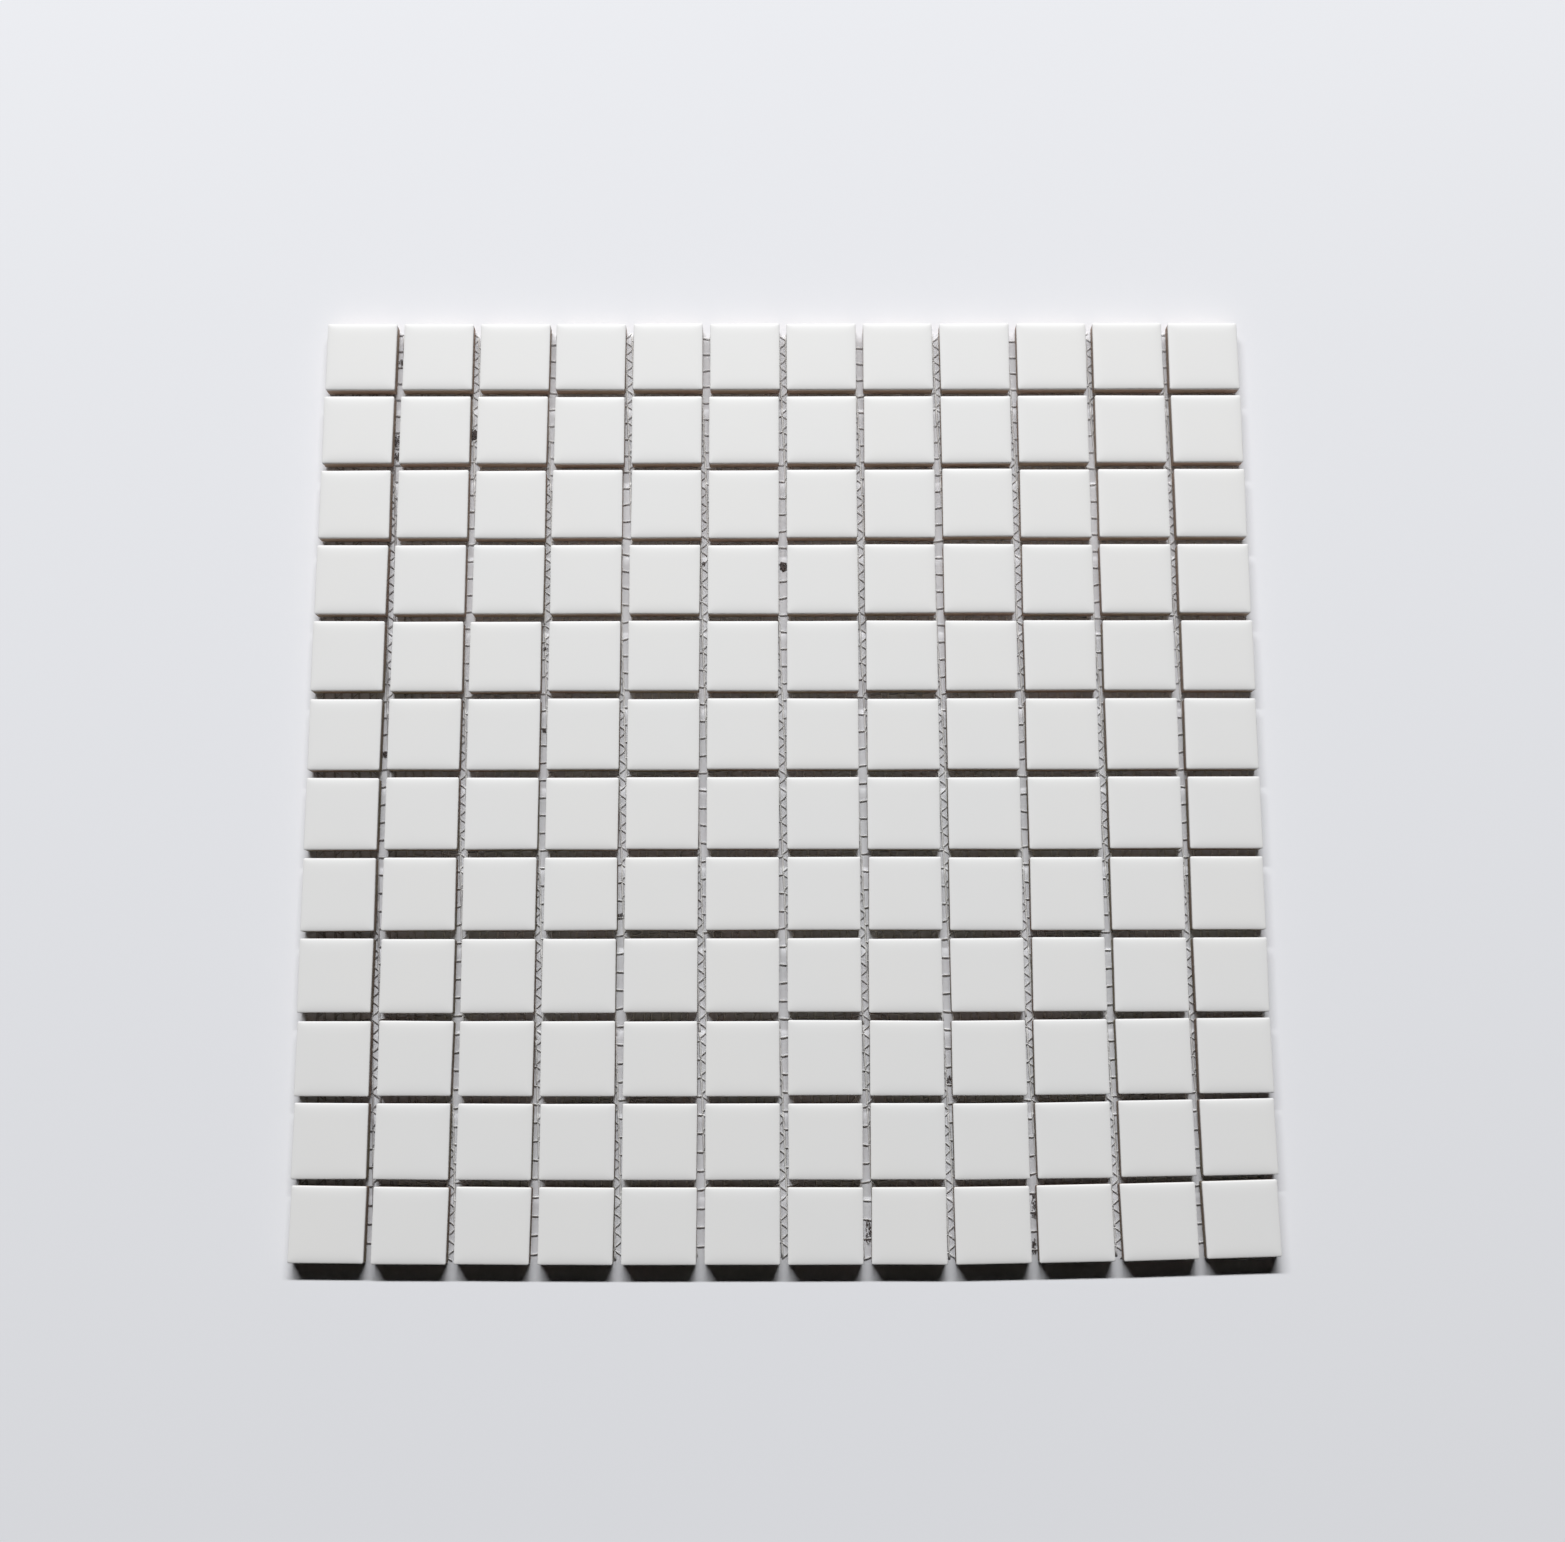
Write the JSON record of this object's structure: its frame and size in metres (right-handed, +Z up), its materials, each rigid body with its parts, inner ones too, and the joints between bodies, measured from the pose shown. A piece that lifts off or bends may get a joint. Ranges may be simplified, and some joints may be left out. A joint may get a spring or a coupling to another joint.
{
  "type": "mosaic tile sheet",
  "caption": "Flat square sheet of small square glazed wall and floor tiles, laid with open joints and held together by a net on their backs.",
  "frame": {"origin": "centre of the sheet's underside, where its backing net rests", "axes": "+X along a row of tiles, +Y across the rows towards the first row, +Z up out of the glazed faces"},
  "size_m": [0.3024, 0.3024, 0.0055],
  "materials": {
    "tile": "satin white glaze on the face and its edges, bare fired clay at the sides and back",
    "net": "white knitted net, matt"
  },
  "bodies": {
    "root": {"tile_row_01": "tile", "tile_row_02": "tile", "tile_row_03": "tile", "tile_row_04": "tile", "tile_row_05": "tile", "tile_row_06": "tile", "tile_row_07": "tile", "tile_row_08": "tile", "tile_row_09": "tile", "tile_row_10": "tile", "tile_row_11": "tile", "tile_row_12": "tile", "backing_net_01": "net", "backing_net_02": "net", "backing_net_03": "net", "backing_net_04": "net", "backing_net_05": "net", "backing_net_06": "net", "backing_net_07": "net", "backing_net_08": "net", "backing_net_09": "net", "backing_net_10": "net", "backing_net_11": "net", "backing_net_12": "net", "backing_net_13": "net", "backing_net_14": "net", "backing_net_15": "net", "backing_net_16": "net"}
  },
  "joints": []
}
